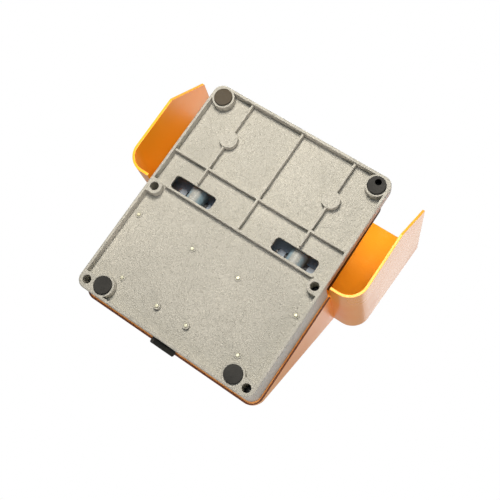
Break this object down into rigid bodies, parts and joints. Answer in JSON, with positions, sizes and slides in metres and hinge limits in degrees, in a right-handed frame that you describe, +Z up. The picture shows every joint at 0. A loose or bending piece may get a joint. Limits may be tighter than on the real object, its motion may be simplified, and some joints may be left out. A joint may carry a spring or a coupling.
{
  "type": "foot switch",
  "caption": "Industrial foot switch with sprung pedals under a tall open-fronted guard hood, on a ribbed cast base with a wedge-shaped switch compartment behind.",
  "frame": {"origin": "on the floor under the middle of the base casting", "axes": "+X from the left pedal to the right one, +Y from the open front to the cable entry at the rear, +Z up"},
  "size_m": [0.267, 0.2505, 0.173],
  "materials": {
    "base_paint": "satin light grey paint with a fine texture on cast aluminium",
    "orange_paint": "orange powder coat with a soft sheen",
    "pedal_paint": "satin light grey paint on cast aluminium",
    "tread_rubber": "matte black ribbed rubber",
    "foot_rubber": "matte brown-black rubber",
    "gasket_rubber": "matte black sealing rubber",
    "zinc_sheet": "bluish zinc-plated steel sheet",
    "zinc_screws": "zinc-plated steel",
    "black_screws": "black oxide on steel",
    "bright_steel": "ground steel",
    "spring_steel": "oiled spring steel",
    "bush_plastic": "dark moulded plastic",
    "switch_plastic": "black moulded plastic",
    "plunger_plastic": "natural white moulded plastic",
    "terminal_plastic": "ivory moulded plastic",
    "brass_parts": "plain brass",
    "plug_plastic": "black moulded plastic"
  },
  "bodies": {
    "base": {"base_casting": "base_paint", "rear_cover": "orange_paint", "guard_hood": "orange_paint", "cover_gasket": "gasket_rubber", "cover_screws": "black_screws", "hood_screws": "zinc_screws", "foot_front_left": "foot_rubber", "foot_front_right": "foot_rubber", "foot_rear_left": "foot_rubber", "foot_rear_right": "foot_rubber", "hinge_screws": "zinc_screws", "switch_screws": "zinc_screws", "bracket_screws": "zinc_screws", "block_screws": "zinc_screws", "terminal_block": "terminal_plastic", "clamp_screws": "brass_parts", "earth_terminal": "brass_parts", "cable_plug": "plug_plastic", "plug_locknut": "plug_plastic", "plug_washer": "gasket_rubber", "hinge_bracket_left": "zinc_sheet", "hinge_bracket_right": "zinc_sheet", "hinge_pin_left": "bright_steel", "hinge_pin_right": "bright_steel", "hinge_bushes_left": "bush_plastic", "hinge_bushes_right": "bush_plastic", "axle_clips_left": "spring_steel", "axle_clips_right": "spring_steel", "return_spring_left": "spring_steel", "return_spring_right": "spring_steel", "switch_body_left": "switch_plastic", "switch_body_right": "switch_plastic", "switch_bracket_left": "zinc_sheet", "switch_bracket_right": "zinc_sheet"},
    "pedal_left": {"pedal_left": "pedal_paint", "tread_left": "tread_rubber"},
    "pedal_right": {"pedal_right": "pedal_paint", "tread_right": "tread_rubber"},
    "plunger_left": {"switch_plunger_left": "plunger_plastic"},
    "plunger_right": {"switch_plunger_right": "plunger_plastic"}
  },
  "joints": [
    {"name": "pedal_left_hinge", "type": "hinge", "parent": "base", "child": "pedal_left", "pos_m": [-0.059, -0.012, 0.0355], "axis": [1, 0, 0], "range_deg": [0, 8], "stiffness_Nm_per_rad": 6, "springref_deg": -5.73, "deforming": ["return_spring_left"]},
    {"name": "plunger_left_slide", "type": "slide", "parent": "base", "child": "plunger_left", "axis": [0, 0, 1], "range_m": [0, 0.0035]},
    {"name": "pedal_right_hinge", "type": "hinge", "parent": "base", "child": "pedal_right", "pos_m": [0.059, -0.012, 0.0355], "axis": [1, 0, 0], "range_deg": [0, 8], "stiffness_Nm_per_rad": 6, "springref_deg": -5.73, "deforming": ["return_spring_right"]},
    {"name": "plunger_right_slide", "type": "slide", "parent": "base", "child": "plunger_right", "axis": [0, 0, 1], "range_m": [0, 0.0035]}
  ],
  "couplings": [
    {"joint": "plunger_left_slide", "follows": "pedal_left_hinge", "m_per_rad": 0.025},
    {"joint": "plunger_right_slide", "follows": "pedal_right_hinge", "m_per_rad": 0.025}
  ]
}
